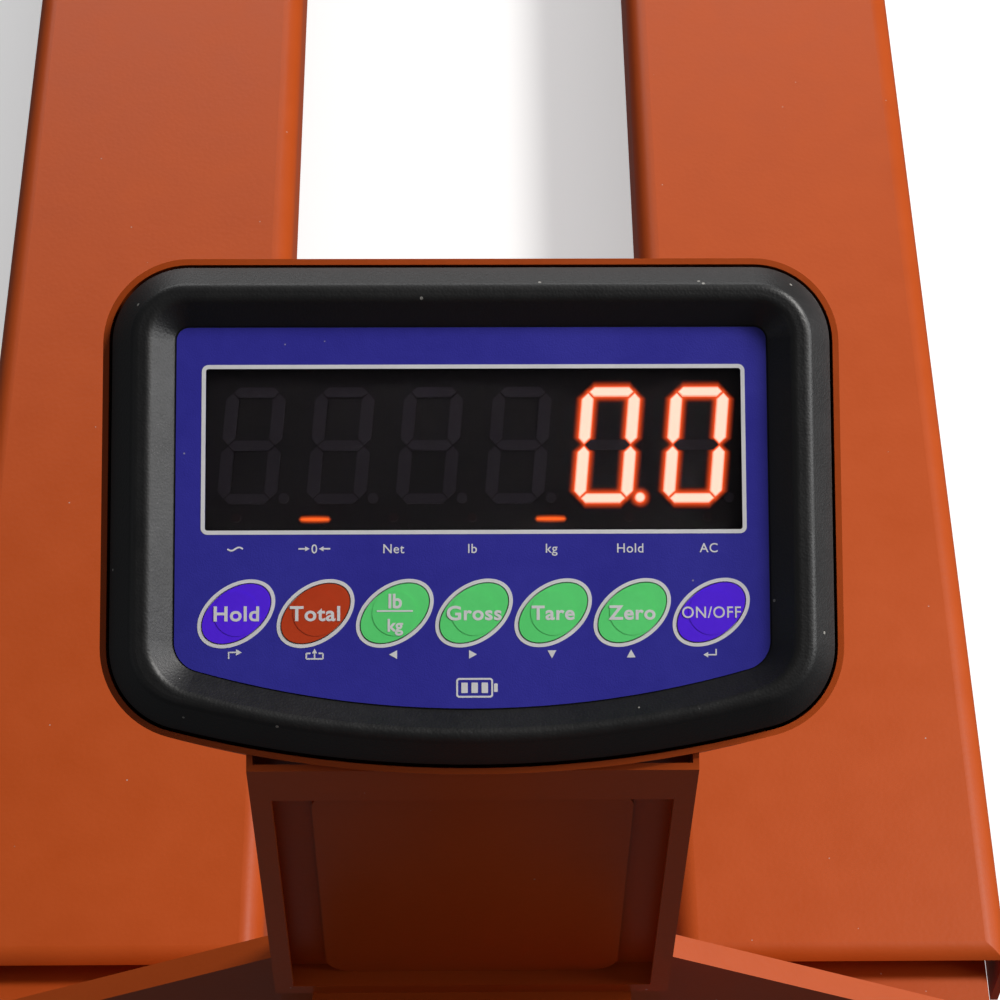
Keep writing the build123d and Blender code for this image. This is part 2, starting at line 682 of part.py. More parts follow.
with BuildPart() as pump_housing:
    with BuildSketch(Plane.XY.offset(60)):
        with Locations((0, STEER_Y)):
            RectangleRounded(*NECK, 10)
    extrude(amount=HOUSING_BOTTOM_Z - 60)
    with BuildSketch(Plane.XY.offset(HOUSING_BOTTOM_Z)):
        with Locations((0, STEER_Y)):
            Circle(HOUSING_RADIUS)
    extrude(amount=HOUSING_TOP_Z - HOUSING_BOTTOM_Z)
    # plunger boss
    with BuildSketch(Plane.XY.offset(120)):
        with Locations((0, STEER_Y - 60)):
            RectangleRounded(44, 76, 10)
    extrude(amount=90)
    # ears for the tiller pivot
    for ear in (-1, 1):
        with BuildSketch(side_plane(ear * EAR_X)):
            with Locations((STEER_Y - 55, TILLER_PIVOT[1])):
                Rectangle(60, 44)
        extrude(amount=5, both=True)
    with BuildSketch(side_plane(0)):
        with Locations(TILLER_PIVOT):
            Circle(8)
    extrude(amount=60, both=True, mode=Mode.SUBTRACT)
    with BuildSketch(Plane.XY.offset(195)):
        with Locations((0, STEER_Y)):
            Circle(RAM_RADIUS + RUNNING_GAP)
    extrude(amount=200, mode=Mode.SUBTRACT)
    with BuildSketch(Plane.XY.offset(130)):
        with Locations((0, PLUNGER_Y)):
            Circle(PLUNGER_RADIUS + RUNNING_GAP)
    extrude(amount=110, mode=Mode.SUBTRACT)
    with BuildSketch(side_plane(0)):
        with Locations((STEER_Y, AXLE_Z)):
            Circle(STEER_AXLE_RADIUS)
    extrude(amount=60, both=True, mode=Mode.SUBTRACT)
save(pump_housing.part, "pump_housing")

with BuildPart() as steer_axle:
    with BuildSketch(side_plane(0)):
        with Locations((STEER_Y, AXLE_Z)):
            Circle(STEER_AXLE_RADIUS)
    extrude(amount=STEER_WHEEL_X + STEER_WHEEL_WIDTH / 2 + 1.5, both=True)
save(steer_axle.part, "steer_axle")

for side_name, side in SIDES.items():
    wheel_plane = side_plane(side * STEER_WHEEL_X)
    with BuildPart() as steer_hub:
        with BuildSketch(wheel_plane):
            with Locations((STEER_Y, AXLE_Z)):
                Circle(STEER_WHEEL_RADIUS - 18)
                Circle(STEER_AXLE_RADIUS + RUNNING_GAP, mode=Mode.SUBTRACT)
        extrude(amount=STEER_WHEEL_WIDTH / 2, both=True)
        with BuildSketch(wheel_plane.offset(side * STEER_WHEEL_WIDTH / 2)):
            with Locations((STEER_Y, AXLE_Z)):
                Circle(STEER_WHEEL_RADIUS - 26)
                Circle(24, mode=Mode.SUBTRACT)
        extrude(amount=-side * 12, mode=Mode.SUBTRACT)
    save(steer_hub.part, f"steer_hub_{side_name}")
    with BuildPart() as steer_tread:
        with BuildSketch(wheel_plane):
            with Locations((STEER_Y, AXLE_Z)):
                Circle(STEER_WHEEL_RADIUS)
                Circle(STEER_WHEEL_RADIUS - 18, mode=Mode.SUBTRACT)
        extrude(amount=STEER_WHEEL_WIDTH / 2, both=True)
        chamfer(steer_tread.edges().filter_by(GeomType.CIRCLE).group_by(SortBy.RADIUS)[-1], 4)
    save(steer_tread.part, f"steer_tread_{side_name}")

with BuildPart() as pump_plunger:
    with BuildSketch(Plane.XY.offset(155)):
        with Locations((0, PLUNGER_Y)):
            Circle(PLUNGER_RADIUS)
    extrude(amount=84)
save(pump_plunger.part, "pump_plunger")

# ---- tiller ----
TILLER_LEAN = 22.0
LOOP_START = 740.0
LOOP_SIZE = (300.0, 170.0)
LOOP_BAR = 28.0
LOOP_THICKNESS = 24.0
TUBE_RADIUS = 17.0
LEVER_PIVOT = LOOP_START + LOOP_BAR + 14.0


def tiller_plane(offset=0.0):
    """Plane of the tiller: local X across, local Y up the arm, from the pivot."""
    lean = radians(TILLER_LEAN)
    pivot = (0, *TILLER_PIVOT)
    plane = Plane(origin=pivot, x_dir=(1, 0, 0), z_dir=(0, -cos(lean), -sin(lean)))
    return plane.offset(offset)


with BuildPart() as tiller_arm:
    with BuildSketch(side_plane(0)):
        with Locations(TILLER_PIVOT):
            Circle(22)
            Circle(8 + RUNNING_GAP, mode=Mode.SUBTRACT)
    extrude(amount=EAR_X - 5 - 0.5, both=True)
    arm_direction = (0, -sin(radians(TILLER_LEAN)), cos(radians(TILLER_LEAN)))
    with BuildSketch(Plane(origin=(0, *TILLER_PIVOT), x_dir=(1, 0, 0), z_dir=arm_direction).offset(19)):
        Circle(TUBE_RADIUS)
    extrude(amount=LOOP_START - 15)
    with BuildSketch(Plane(origin=(0, *TILLER_PIVOT), x_dir=(1, 0, 0), z_dir=arm_direction).offset(30)):
        Circle(TUBE_RADIUS - 3)
    extrude(amount=LOOP_START - 30, mode=Mode.SUBTRACT)
save(tiller_arm.part, "tiller_arm")

with BuildPart() as tiller_pin:
    with BuildSketch(side_plane(0)):
        with Locations(TILLER_PIVOT):
            Circle(8)
    extrude(amount=EAR_X + 5, both=True)
save(tiller_pin.part, "tiller_pin")

def on_loop_face(edge):
    return abs(abs(tiller_plane().to_local_coords(edge.center()).Z) - LOOP_THICKNESS / 2) < 0.1


with BuildPart() as handle_loop:
    with BuildSketch(tiller_plane()):
        with Locations((0, LOOP_START + LOOP_SIZE[1] / 2 + 4)):
            RectangleRounded(*LOOP_SIZE, 48)
            RectangleRounded(LOOP_SIZE[0] - 2 * LOOP_BAR, LOOP_SIZE[1] - 2 * LOOP_BAR, 24, mode=Mode.SUBTRACT)
    extrude(amount=LOOP_THICKNESS / 2, both=True)
    fillet(handle_loop.edges().filter_by(on_loop_face), 7)
save(handle_loop.part, "handle_loop")

lever_point = tiller_plane().from_local_coords((0, LEVER_PIVOT, 0))
LEVER_YZ = (lever_point.Y, lever_point.Z)

with BuildPart() as release_lever:
    with BuildSketch(tiller_plane()):
        with Locations((0, LEVER_PIVOT + 26)):
            RectangleRounded(26, 52, 8)
    extrude(amount=5, both=True)
    with BuildSketch(side_plane(0)):
        with Locations(LEVER_YZ):
            Circle(9)
    extrude(amount=13, both=True)
    with BuildSketch(side_plane(0)):
        with Locations(LEVER_YZ):
            Circle(3 + RUNNING_GAP)
    extrude(amount=20, both=True, mode=Mode.SUBTRACT)
save(release_lever.part, "release_lever")

with BuildPart() as lever_bracket:
    for ear in (-1, 1):
        with BuildSketch(tiller_plane()):
            with Locations((ear * 16, LOOP_START + LOOP_BAR + 14)):
                Rectangle(5, 20)
        extrude(amount=8, both=True)
    with BuildSketch(side_plane(0)):
        with Locations(LEVER_YZ):
            Circle(3)
    extrude(amount=18, both=True)
save(lever_bracket.part, "lever_bracket")

for side_name, side in SIDES.items():
    bar_x = side * (LOOP_SIZE[0] - LOOP_BAR) / 2
    with BuildPart() as handle_grip:
        with BuildSketch(tiller_plane()):
            with Locations((bar_x, LOOP_START + 4 + LOOP_SIZE[1] / 2)):
                Rectangle(LOOP_BAR + 8, 72)
        extrude(amount=LOOP_THICKNESS / 2 + 4, both=True)
        fillet(handle_grip.edges(), 7)
        with BuildSketch(tiller_plane()):
            with Locations((bar_x, LOOP_START + 4 + LOOP_SIZE[1] / 2)):
                Rectangle(LOOP_BAR + 0.1, 74)
        extrude(amount=LOOP_THICKNESS / 2 + 0.05, both=True, mode=Mode.SUBTRACT)
    save(handle_grip.part, f"handle_grip_{side_name}")
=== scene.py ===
import json
import math

import bmesh
import bpy
from mathutils import Matrix, Vector


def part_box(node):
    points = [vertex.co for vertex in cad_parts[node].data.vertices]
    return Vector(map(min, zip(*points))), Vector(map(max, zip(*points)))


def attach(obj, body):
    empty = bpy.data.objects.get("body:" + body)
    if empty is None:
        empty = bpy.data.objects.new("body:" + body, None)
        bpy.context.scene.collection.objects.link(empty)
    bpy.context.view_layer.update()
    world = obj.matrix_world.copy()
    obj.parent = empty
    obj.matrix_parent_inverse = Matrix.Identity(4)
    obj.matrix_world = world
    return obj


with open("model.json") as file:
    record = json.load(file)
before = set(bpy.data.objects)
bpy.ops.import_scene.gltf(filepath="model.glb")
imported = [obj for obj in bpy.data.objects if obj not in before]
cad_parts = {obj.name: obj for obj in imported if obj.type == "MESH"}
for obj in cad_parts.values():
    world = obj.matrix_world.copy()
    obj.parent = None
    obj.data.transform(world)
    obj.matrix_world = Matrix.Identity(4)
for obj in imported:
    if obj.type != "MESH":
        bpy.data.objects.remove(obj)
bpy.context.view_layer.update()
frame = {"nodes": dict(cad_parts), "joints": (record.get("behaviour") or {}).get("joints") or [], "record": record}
NODES = frame["nodes"]
JOINTS = {joint["name"]: joint for joint in frame["joints"]}
MM = 0.001


# ---- display face: U to the right, V up the face, W out of it, in millimetres ----
PRESS = Vector(JOINTS["key_gross_press"]["axis"]).normalized()
FACE_W = -PRESS
FACE_U = Vector((1, 0, 0))
FACE_V = FACE_W.cross(FACE_U).normalized()
OVERLAY_TOP = 61.7            # top edge of the overlay above the face centre
OVERLAY_THICKNESS = 0.5


def face_origin():
    """Centre of the display face, from the overlay's highest corner."""
    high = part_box("keypad_overlay")[1]
    y = high[1] - OVERLAY_TOP * MM * FACE_V.y - OVERLAY_THICKNESS * MM * abs(FACE_W.y)
    z = high[2] - OVERLAY_TOP * MM * FACE_V.z
    return Vector((0, y, z))


FACE_ORIGIN = face_origin()
FACE_MATRIX = Matrix.Translation(FACE_ORIGIN) @ Matrix(
    (
        (FACE_U.x * MM, FACE_V.x * MM, FACE_W.x * MM, 0),
        (FACE_U.y * MM, FACE_V.y * MM, FACE_W.y * MM, 0),
        (FACE_U.z * MM, FACE_V.z * MM, FACE_W.z * MM, 0),
        (0, 0, 0, 1),
    )
)


# ---- shader groups ----
def new_group(name, inputs, outputs):
    """A shader group with named float, colour or vector inputs and outputs."""
    group = bpy.data.node_groups.new(name, "ShaderNodeTree")
    for label, kind, default in inputs:
        socket = group.interface.new_socket(name=label, in_out="INPUT", socket_type=kind)
        if default is not None:
            socket.default_value = default
    for label, kind in outputs:
        group.interface.new_socket(name=label, in_out="OUTPUT", socket_type=kind)
    start = group.nodes.new("NodeGroupInput")
    end = group.nodes.new("NodeGroupOutput")
    return group, start, end


FLOAT, COLOR, VECTOR = "NodeSocketFloat", "NodeSocketColor", "NodeSocketVector"


def math_node(tree, operation, first, second=None):
    """A Math node fed by numbers or sockets; returns its output."""
    node = tree.nodes.new("ShaderNodeMath")
    node.operation = operation
    for index, value in enumerate((first, second)):
        if value is None:
            continue
        if isinstance(value, (int, float)):
            node.inputs[index].default_value = value
        else:
            tree.links.new(value, node.inputs[index])
    return node.outputs[0]


def noise(tree, vector, scale, detail=2.0):
    node = tree.nodes.new("ShaderNodeTexNoise")
    node.inputs["Detail"].default_value = detail
    tree.links.new(vector, node.inputs["Vector"])
    if isinstance(scale, (int, float)):
        node.inputs["Scale"].default_value = scale
    else:
        tree.links.new(scale, node.inputs["Scale"])
    return node.outputs["Fac"]


def tone_group():
    """Slow changes of colour and roughness over a surface."""
    inputs = [
        ("Vector", VECTOR, None),
        ("Scale", FLOAT, 12.0),
        ("Light Tone", COLOR, (0.8, 0.8, 0.8, 1)),
        ("Dark Tone", COLOR, (0.7, 0.7, 0.7, 1)),
        ("Smooth", FLOAT, 0.3),
        ("Rough", FLOAT, 0.5),
    ]
    group, start, end = new_group("slow_tone", inputs, [("Color", COLOR), ("Roughness", FLOAT)])
    large = noise(group, start.outputs["Vector"], start.outputs["Scale"], 4.0)
    fine_scale = math_node(group, "MULTIPLY", start.outputs["Scale"], 9.0)
    fine = noise(group, start.outputs["Vector"], fine_scale, 3.0)
    large_share = math_node(group, "MULTIPLY", large, 0.65)
    fine_share = math_node(group, "MULTIPLY", fine, 0.35)
    both = math_node(group, "ADD", large_share, fine_share)
    spread = group.nodes.new("ShaderNodeMapRange")
    spread.inputs["From Min"].default_value = 0.35
    spread.inputs["From Max"].default_value = 0.65
    group.links.new(both, spread.inputs["Value"])
    mix = group.nodes.new("ShaderNodeMix")
    mix.data_type = "RGBA"
    group.links.new(spread.outputs["Result"], mix.inputs["Factor"])
    group.links.new(start.outputs["Dark Tone"], mix.inputs[6])
    group.links.new(start.outputs["Light Tone"], mix.inputs[7])
    rough = group.nodes.new("ShaderNodeMapRange")
    group.links.new(spread.outputs["Result"], rough.inputs["Value"])
    group.links.new(start.outputs["Smooth"], rough.inputs["To Min"])
    group.links.new(start.outputs["Rough"], rough.inputs["To Max"])
    group.links.new(mix.outputs[2], end.inputs["Color"])
    group.links.new(rough.outputs["Result"], end.inputs["Roughness"])
    return group


def grain_group():
    """Fine relief: round pebbles of a moulded or sprayed skin over a softer waviness."""
    inputs = [("Vector", VECTOR, None), ("Pebbles per Metre", FLOAT, 1500.0), ("Waviness", FLOAT, 0.4)]
    group, start, end = new_group("skin_grain", inputs, [("Height", FLOAT)])
    pebbles = group.nodes.new("ShaderNodeTexVoronoi")
    pebbles.feature = "SMOOTH_F1"
    group.links.new(start.outputs["Vector"], pebbles.inputs["Vector"])
    group.links.new(start.outputs["Pebbles per Metre"], pebbles.inputs["Scale"])
    wave_scale = math_node(group, "MULTIPLY", start.outputs["Pebbles per Metre"], 0.12)
    wave = noise(group, start.outputs["Vector"], wave_scale, 2.0)
    raised = math_node(group, "SUBTRACT", 1.0, pebbles.outputs["Distance"])
    swell = math_node(group, "MULTIPLY", wave, start.outputs["Waviness"])
    height = math_node(group, "ADD", raised, swell)
    group.links.new(height, end.inputs["Height"])
    return group


def dust_group():
    """Sparse pale specks of dust and lint: 1 where a speck lies."""
    inputs = [("Vector", VECTOR, None), ("Cells per Metre", FLOAT, 260.0), ("Speck Size", FLOAT, 0.05)]
    group, start, end = new_group("dust_specks", inputs, [("Mask", FLOAT)])
    cells = group.nodes.new("ShaderNodeTexVoronoi")
    group.links.new(start.outputs["Vector"], cells.inputs["Vector"])
    group.links.new(start.outputs["Cells per Metre"], cells.inputs["Scale"])
    near = math_node(group, "LESS_THAN", cells.outputs["Distance"], start.outputs["Speck Size"])
    split = group.nodes.new("ShaderNodeSeparateColor")
    group.links.new(cells.outputs["Color"], split.inputs["Color"])
    chosen = math_node(group, "GREATER_THAN", split.outputs[0], 0.72)
    group.links.new(math_node(group, "MULTIPLY", near, chosen), end.inputs["Mask"])
    return group


TONE = tone_group()
GRAIN = grain_group()
DUST = dust_group()


# ---- materials ----
def use_group(tree, group, vector, **values):
    """Place a shader group in a material with its own values."""
    node = tree.nodes.new("ShaderNodeGroup")
    node.node_tree = group
    tree.links.new(vector, node.inputs["Vector"])
    for label, value in values.items():
        node.inputs[label.replace("_", " ")].default_value = value
    return node


def rgba(color):
    return (*color, 1.0)


def surface(
    name,
    light,
    dark,
    tone_scale=12.0,
    roughness=(0.35, 0.5),
    metallic=0.0,
    pebbles=1500.0,
    relief=0.00003,
    waviness=0.4,
    dust=0.0,
    dust_cells=260.0,
    stretch=(1, 1, 1),
    **sockets,
):
    """A finish with slow colour changes, fine relief and a little dust."""
    material = bpy.data.materials.new(name)
    material.use_nodes = True
    tree = material.node_tree
    shader = tree.nodes["Principled BSDF"]
    place = tree.nodes.new("ShaderNodeTexCoord").outputs["Object"]
    mapping = tree.nodes.new("ShaderNodeMapping")
    mapping.inputs["Scale"].default_value = stretch
    tree.links.new(place, mapping.inputs["Vector"])
    vector = mapping.outputs["Vector"]
    tone = use_group(
        tree,
        TONE,
        vector,
        Scale=tone_scale,
        Light_Tone=rgba(light),
        Dark_Tone=rgba(dark),
        Smooth=roughness[0],
        Rough=roughness[1],
    )
    color = tone.outputs["Color"]
    if dust:
        specks = use_group(tree, DUST, place, Cells_per_Metre=dust_cells, Speck_Size=dust)
        mix = tree.nodes.new("ShaderNodeMix")
        mix.data_type = "RGBA"
        mix.inputs[7].default_value = (0.5, 0.48, 0.44, 1)
        tree.links.new(math_node(tree, "MULTIPLY", specks.outputs["Mask"], 0.55), mix.inputs["Factor"])
        tree.links.new(color, mix.inputs[6])
        color = mix.outputs[2]
    tree.links.new(color, shader.inputs["Base Color"])
    tree.links.new(tone.outputs["Roughness"], shader.inputs["Roughness"])
    shader.inputs["Metallic"].default_value = metallic
    grain = use_group(tree, GRAIN, vector, Pebbles_per_Metre=pebbles, Waviness=waviness)
    bump = tree.nodes.new("ShaderNodeBump")
    bump.inputs["Distance"].default_value = relief
    bump.inputs["Strength"].default_value = 1.0
    tree.links.new(grain.outputs["Height"], bump.inputs["Height"])
    tree.links.new(bump.outputs["Normal"], shader.inputs["Normal"])
    for label, value in sockets.items():
        shader.inputs[label.replace("_", " ")].default_value = value
    return material


def glowing(name, color, strength, base=(0.9, 0.4, 0.3)):
    """A lit lens: plastic that gives out light."""
    material = bpy.data.materials.new(name)
    material.use_nodes = True
    shader = material.node_tree.nodes["Principled BSDF"]
    shader.inputs["Base Color"].default_value = rgba(base)
    shader.inputs["Roughness"].default_value = 0.4
    shader.inputs["Emission Color"].default_value = rgba(color)
    shader.inputs["Emission Strength"].default_value = strength
    return material


def halo(name, color, strength):
    """Glow round a lit lens: light that fades with the piece's own attribute."""
    material = glowing(name, color, strength, (0.0, 0.0, 0.0))
    tree = material.node_tree
    shader = tree.nodes["Principled BSDF"]
    fade = tree.nodes.new("ShaderNodeAttribute")
    fade.attribute_name = "fade"
    power = math_node(tree, "POWER", fade.outputs["Fac"], 2.2)
    tree.links.new(power, shader.inputs["Alpha"])
    shader.inputs["Specular IOR Level"].default_value = 0.0
    return material


MATERIALS = {
    "orange_paint": surface(
        "orange_powder_coat", (0.47, 0.072, 0.008), (0.43, 0.064, 0.007), 5.0, (0.36, 0.46),
        pebbles=420.0, relief=0.00004, waviness=0.9, dust=0.04, dust_cells=90.0, Coat_Weight=0.05,
        Coat_Roughness=0.25, Specular_IOR_Level=0.22,
    ),
    "black_abs": surface(
        "black_moulded_abs", (0.0085, 0.0085, 0.0085), (0.0055, 0.0055, 0.0058), 30.0, (0.42, 0.50),
        pebbles=1300.0, relief=0.00006, waviness=0.3, dust=0.07, dust_cells=130.0,
    ),
    "black_moulding": surface(
        "black_handle_moulding", (0.024, 0.024, 0.026), (0.016, 0.016, 0.017), 22.0, (0.4, 0.52),
        pebbles=900.0, relief=0.00005,
    ),
    "blue_film": surface(
        "blue_polyester_film", (0.034, 0.031, 0.380), (0.029, 0.026, 0.335), 25.0, (0.34, 0.42),
        pebbles=2200.0, relief=0.000035, waviness=0.2, dust=0.05, dust_cells=150.0,
    ),
    "key_violet": surface(
        "violet_key_film", (0.115, 0.020, 0.98), (0.100, 0.017, 0.92), 60.0, (0.28, 0.36),
        pebbles=1500.0, relief=0.00001,
    ),
    "key_brown": surface(
        "red_brown_key_film", (0.62, 0.060, 0.012), (0.57, 0.052, 0.010), 60.0, (0.28, 0.36),
        pebbles=1500.0, relief=0.00001,
    ),
    "key_green": surface(
        "green_key_film", (0.140, 0.86, 0.235), (0.125, 0.81, 0.210), 60.0, (0.28, 0.36),
        pebbles=1500.0, relief=0.00001,
    ),
    "white_print": surface(
        "white_screen_print", (0.82, 0.82, 0.83), (0.76, 0.76, 0.78), 90.0, (0.4, 0.5),
        pebbles=2200.0, relief=0.00001,
    ),
    "led_black": surface(
        "black_module_face", (0.006, 0.006, 0.007), (0.004, 0.004, 0.005), 40.0, (0.5, 0.6),
        relief=0.00002,
    ),
    "led_dark": surface(
        "unlit_segment_resin", (0.034, 0.032, 0.043), (0.028, 0.026, 0.036), 80.0, (0.4, 0.5),
        relief=0.00001,
    ),
    "led_lit": glowing("lit_segment_resin", (1.0, 0.66, 0.50), 1.45, (0.1, 0.02, 0.01)),
    "lamp_lens": glowing("status_lamp_resin", (1.0, 0.10, 0.02), 0.0, (0.012, 0.004, 0.004)),
    "zinc_steel": surface(
        "zinc_plated_steel", (0.62, 0.63, 0.64), (0.50, 0.51, 0.53), 60.0, (0.26, 0.42), 1.0,
        pebbles=700.0, relief=0.00002, stretch=(1, 1, 6),
    ),
    "chromed_ram": surface(
        "hard_chromed_ram", (0.78, 0.79, 0.81), (0.70, 0.71, 0.73), 30.0, (0.06, 0.14), 1.0,
        pebbles=900.0, relief=0.000005, stretch=(1, 1, 8),
    ),
    "nickel_cell": surface(
        "nickel_plated_cell", (0.68, 0.66, 0.60), (0.58, 0.56, 0.51), 40.0, (0.2, 0.34), 1.0,
        pebbles=900.0, relief=0.00001, stretch=(1, 8, 1),
    ),
    "gasket_rubber": surface(
        "soft_black_rubber", (0.030, 0.030, 0.031), (0.020, 0.020, 0.021), 50.0, (0.62, 0.78),
        pebbles=1000.0, relief=0.00008,
    ),
    "dome_film": surface(
        "printed_contact_film", (0.62, 0.62, 0.58), (0.55, 0.55, 0.52), 60.0, (0.3, 0.4), relief=0.00001,
    ),
    "circuit_board": surface(
        "green_solder_mask", (0.010, 0.130, 0.045), (0.008, 0.105, 0.035), 80.0, (0.25, 0.35),
        relief=0.00002,
    ),
    "board_black": surface(
        "black_chip_body", (0.02, 0.02, 0.02), (0.015, 0.015, 0.015), 90.0, (0.5, 0.6), relief=0.00002,
    ),
    "battery_case": surface(
        "dark_battery_wrap", (0.035, 0.040, 0.055), (0.028, 0.032, 0.045), 40.0, (0.25, 0.35),
        relief=0.00002,
    ),
    "gland_nylon": surface(
        "black_nylon", (0.025, 0.025, 0.026), (0.018, 0.018, 0.019), 60.0, (0.45, 0.55), relief=0.00004,
    ),
    "pump_paint": surface(
        "dark_casting_paint", (0.045, 0.046, 0.050), (0.030, 0.031, 0.034), 18.0, (0.4, 0.55),
        pebbles=350.0, relief=0.00018, waviness=1.2, dust=0.06, dust_cells=90.0,
    ),
    "wheel_hub": surface(
        "cast_hub", (0.16, 0.16, 0.165), (0.11, 0.11, 0.115), 30.0, (0.4, 0.6), 0.3,
        pebbles=500.0, relief=0.00015, waviness=1.0,
    ),
    "wheel_tread": surface(
        "worn_polyurethane", (0.40, 0.060, 0.030), (0.29, 0.050, 0.028), 14.0, (0.45, 0.7),
        pebbles=600.0, relief=0.00012, waviness=1.4, dust=0.10, dust_cells=160.0,
    ),
}


def smoked_pane():
    """Dark tinted acrylic over the digits."""
    material = bpy.data.materials.new("smoked_acrylic")
    material.use_nodes = True
    shader = material.node_tree.nodes["Principled BSDF"]
    shader.inputs["Base Color"].default_value = (0.86, 0.80, 0.82, 1)
    shader.inputs["Roughness"].default_value = 0.06
    shader.inputs["Transmission Weight"].default_value = 1.0
    shader.inputs["IOR"].default_value = 1.12
    return material


MATERIALS["smoked_pane"] = smoked_pane()
MATERIALS["digit_halo"] = halo("digit_halo", (1.0, 0.10, 0.02), 1.1)
# painted glow: red light laid along the edges of the lit segments
MATERIALS["segment_rim_glow"] = halo("segment_rim_glow", (1.0, 0.16, 0.05), 1.3)
MATERIALS["lamp_halo"] = halo("lamp_halo", (1.0, 0.13, 0.02), 1.4)

for row in frame["record"]["subparts"]:
    NODES[row["node"]].data.materials.clear()
    NODES[row["node"]].data.materials.append(MATERIALS[row["material_slot"]])


# ---- mesh helpers ----
def add_object(name, mesh, body, material):
    """A finished piece at the origin that rides on a body."""
    for polygon in mesh.polygons:
        polygon.use_smooth = False
    piece = bpy.data.objects.new(name, mesh)
    bpy.context.scene.collection.objects.link(piece)
    mesh.materials.clear()
    mesh.materials.append(MATERIALS[material])
    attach(piece, body)
    return piece


def slab(shapes, low, high):
    """Thin flat prints on the face: each shape is (outer points, inner points or None) in U, V."""
    form = bmesh.new()
    for outer, inner in shapes:
        loops = []
        for height in (high, low):
            outer_ring = [form.verts.new((u, v, height)) for u, v in outer]
            inner_ring = [form.verts.new((u, v, height)) for u, v in inner] if inner else None
            loops.append((outer_ring, inner_ring))
        (top_out, top_in), (low_out, low_in) = loops
        count = len(top_out)
        for i in range(count):
            j = (i + 1) % count
            form.faces.new((top_out[j], top_out[i], low_out[i], low_out[j]))
            if inner:
                form.faces.new((top_in[i], top_in[j], low_in[j], low_in[i]))
                form.faces.new((top_out[i], top_out[j], top_in[j], top_in[i]))
                form.faces.new((low_out[j], low_out[i], low_in[i], low_in[j]))
        if not inner:
            form.faces.new(top_out)
            form.faces.new(list(reversed(low_out)))
    bmesh.ops.recalc_face_normals(form, faces=form.faces)
    mesh = bpy.data.meshes.new("print")
    form.to_mesh(mesh)
    form.free()
    return mesh


def ellipse_points(centre, half_long, half_short, turn, count=96):
    """Ellipse outline turned by turn degrees."""
    lean = math.radians(turn)
    points = []
    for i in range(count):
        angle = 2 * math.pi * i / count
        x, y = half_long * math.cos(angle), half_short * math.sin(angle)
        points.append(
            (
                centre[0] + x * math.cos(lean) - y * math.sin(lean),
                centre[1] + x * math.sin(lean) + y * math.cos(lean),
            )
        )
    return points


def rounded_box(centre, size, radius, count=8):
    """Rectangle outline with round corners."""
    points = []
    for corner, (sx, sy) in enumerate(((1, 1), (-1, 1), (-1, -1), (1, -1))):
        cx = centre[0] + sx * (size[0] / 2 - radius)
        cy = centre[1] + sy * (size[1] / 2 - radius)
        for i in range(count + 1):
            angle = math.pi / 2 * (corner + i / count)
            points.append((cx + radius * math.cos(angle), cy + radius * math.sin(angle)))
    return points


PRINT_HEIGHT = 0.07           # thickness of white print on the overlay
CAPITAL_SHARE = 0.70          # height of a capital in Blender's font, for a size of 1


def print_piece(name, shapes):
    """White print on the overlay."""
    mesh = slab(shapes, 0.0, PRINT_HEIGHT)
    mesh.transform(FACE_MATRIX)
    add_object(name, mesh, "frame", "white_print")


def text_mesh(words, centre, cap_height, bold=0.0, stretch=1.0, spacing=1.0, low=0.0, height=PRINT_HEIGHT):
    """Lettering on the face, centred on a point, with capitals of the given height."""
    curve = bpy.data.curves.new("lettering", "FONT")
    curve.body = words
    curve.align_x = "CENTER"
    curve.size = cap_height / CAPITAL_SHARE
    curve.space_character = spacing
    curve.offset = bold
    curve.extrude = height / 2
    curve.resolution_u = 6
    holder = bpy.data.objects.new("lettering", curve)
    bpy.context.scene.collection.objects.link(holder)
    bpy.context.view_layer.update()
    evaluated = holder.evaluated_get(bpy.context.evaluated_depsgraph_get())
    mesh = bpy.data.meshes.new_from_object(evaluated)
    bpy.data.objects.remove(holder)
    shift = Vector((centre[0], centre[1] - cap_height / 2, low + height / 2))
    mesh.transform(Matrix.Translation(shift) @ Matrix.Diagonal((stretch, 1, 1, 1)))
    return mesh


def join_meshes(meshes):
    """One mesh from several."""
    form = bmesh.new()
    for mesh in meshes:
        form.from_mesh(mesh)
    joined = bpy.data.meshes.new("joined")
    form.to_mesh(joined)
    form.free()
    return joined


# ---- printing on the overlay ----
KEY_PITCH = 25.84
KEY_V = -32.8
KEY_TURN = 36.0
RING_OUTER = (14.1, 9.4)
RING_INNER = (12.85, 8.25)
KEY_SHIFT = 0.5               # keys stand a little right of the lamp columns
KEY_COLUMNS = [(i - 3) * KEY_PITCH for i in range(7)]
WINDOW_CENTRE = (0.6, 21.2)
WINDOW_INNER = (176.2, 53.5)
WINDOW_LINE = 1.35

outline = rounded_box(WINDOW_CENTRE, [side + 2 * WINDOW_LINE for side in WINDOW_INNER], 2.2)
opening = rounded_box(WINDOW_CENTRE, WINDOW_INNER, 0.9)
print_piece("window_outline", [(outline, opening)])

rings = []
for x in KEY_COLUMNS:
    centre = (x + KEY_SHIFT, KEY_V)
    outer_edge = ellipse_points(centre, *RING_OUTER, KEY_TURN)
    inner_edge = ellipse_points(centre, *RING_INNER, KEY_TURN)
    rings.append((outer_edge, inner_edge))
print_piece("key_rings", rings)

LAMP_LABELS = ["~", "→0←", "Net", "lb", "kg", "Hold", "AC"]
LABEL_V = -11.6


